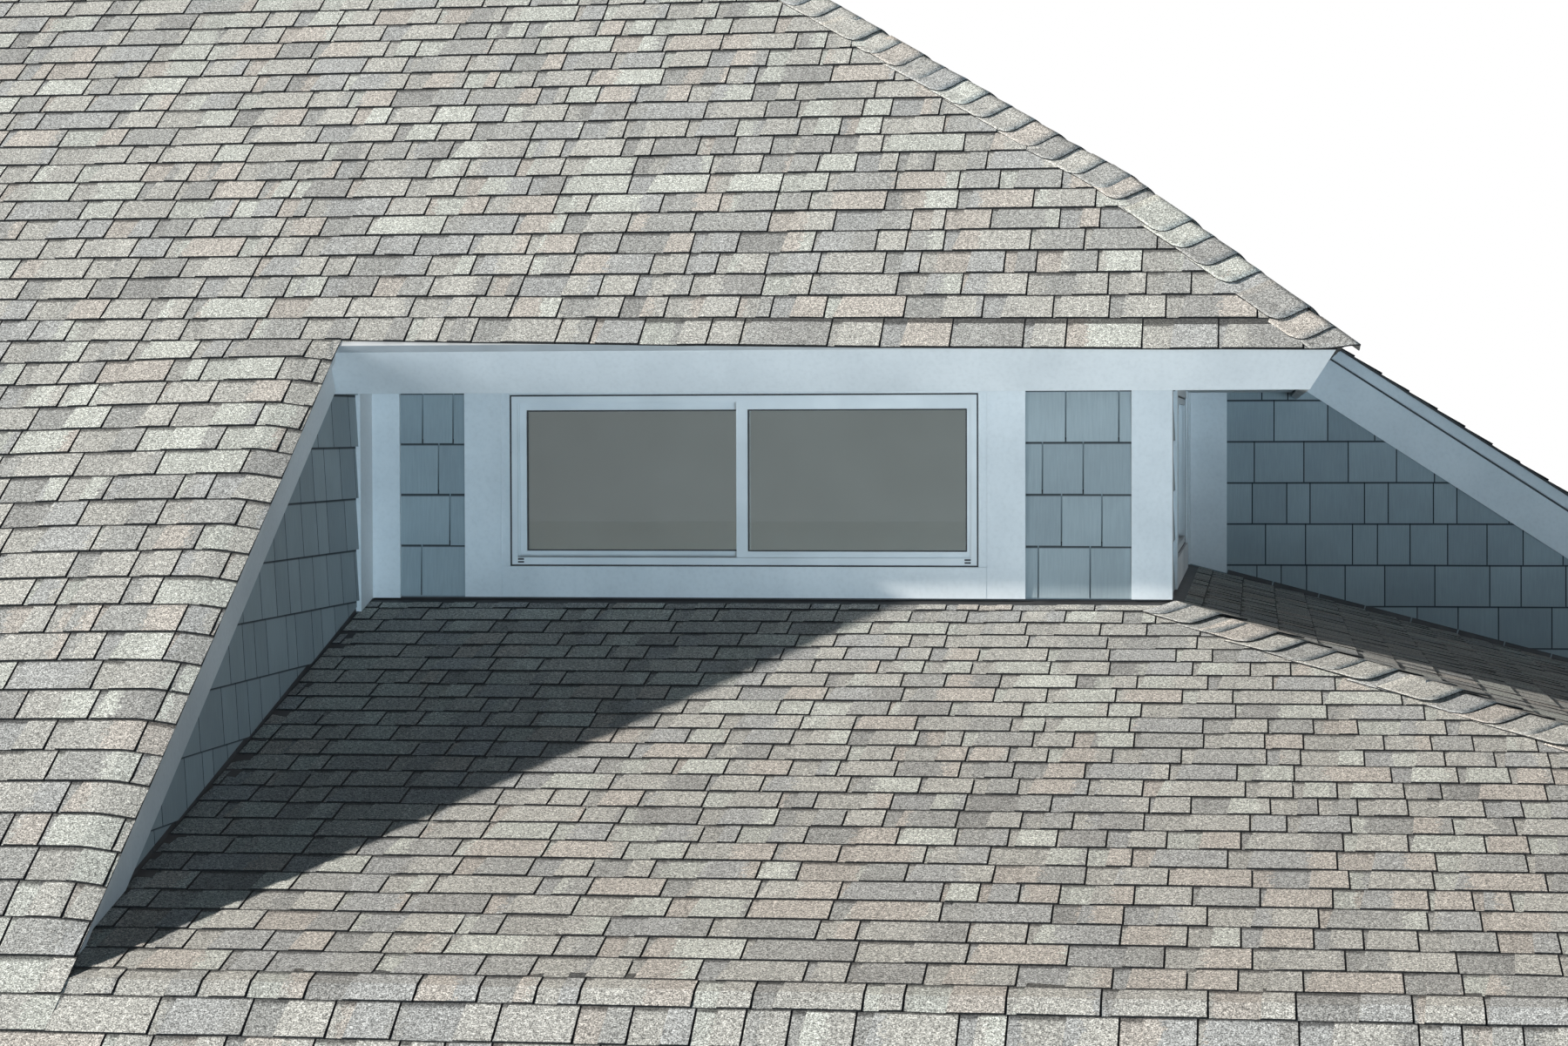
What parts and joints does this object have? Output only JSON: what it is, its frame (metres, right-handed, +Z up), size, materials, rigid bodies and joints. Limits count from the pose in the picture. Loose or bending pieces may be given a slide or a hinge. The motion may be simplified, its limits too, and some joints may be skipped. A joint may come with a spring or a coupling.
{
  "type": "corner dormer window",
  "caption": "Inset dormer with sliding windows wrapping a corner under a hip roof, with white trim, shingled walls and a shallow shingled roof below.",
  "frame": {"origin": "Middle of the flat base, on the floor the walls stand on.", "axes": "+Z is up. The longer seen window looks along -Y and the other window along +X. The hips run down from the -X +Y corner to the +X -Y corner."},
  "size_m": [8.6438, 7.7038, 5.3773],
  "materials": {
    "roof_shingles": "asphalt shingles faced with light grey, greenish grey, tan and dark grey mineral grains",
    "siding_shingles": "sawn shingles painted a bluish grey",
    "white_trim": "boards painted off-white, slightly dirty",
    "window_plastic": "white plastic, satin",
    "window_glass": "clear flat glass",
    "flashing_metal": "dark painted sheet metal",
    "drip_metal": "light painted aluminium strip",
    "party_wall": "plain painted boarding on the cut sides"
  },
  "bodies": {
    "root": {"front_upper_roof": "roof_shingles", "side_eave_roof": "roof_shingles", "side_upper_roof": "roof_shingles", "left_roof_strip": "roof_shingles", "back_roof_strip": "roof_shingles", "front_lower_roof": "roof_shingles", "side_lower_roof": "roof_shingles", "front_bottom_roof": "roof_shingles", "side_bottom_roof": "roof_shingles", "front_window_wall": "siding_shingles", "side_window_wall": "siding_shingles", "left_cheek_wall": "siding_shingles", "right_cheek_wall": "siding_shingles", "left_end_wall": "party_wall", "back_end_wall": "party_wall", "front_curb": "party_wall", "side_curb": "party_wall", "front_fascia": "white_trim", "side_fascia": "white_trim", "front_soffit": "white_trim", "side_soffit": "white_trim", "front_drip_edge": "drip_metal", "side_drip_edge": "drip_metal", "left_rake_boards": "white_trim", "right_rake_boards": "white_trim", "outer_corner_boards": "white_trim", "left_inner_corner": "white_trim", "right_inner_corner": "white_trim", "front_window_casing": "white_trim", "side_window_casing": "white_trim", "front_window_frame": "window_plastic", "side_window_frame": "window_plastic", "front_sliding_sash": "window_plastic", "side_sliding_sash": "window_plastic", "front_fixed_sash": "window_plastic", "side_fixed_sash": "window_plastic", "front_window_glass": "window_glass", "side_window_glass": "window_glass", "front_base_flashing": "flashing_metal", "side_base_flashing": "flashing_metal", "left_step_flashing": "flashing_metal", "right_step_flashing": "flashing_metal", "upper_hip_caps": "roof_shingles", "lower_hip_caps": "roof_shingles"}
  },
  "joints": []
}
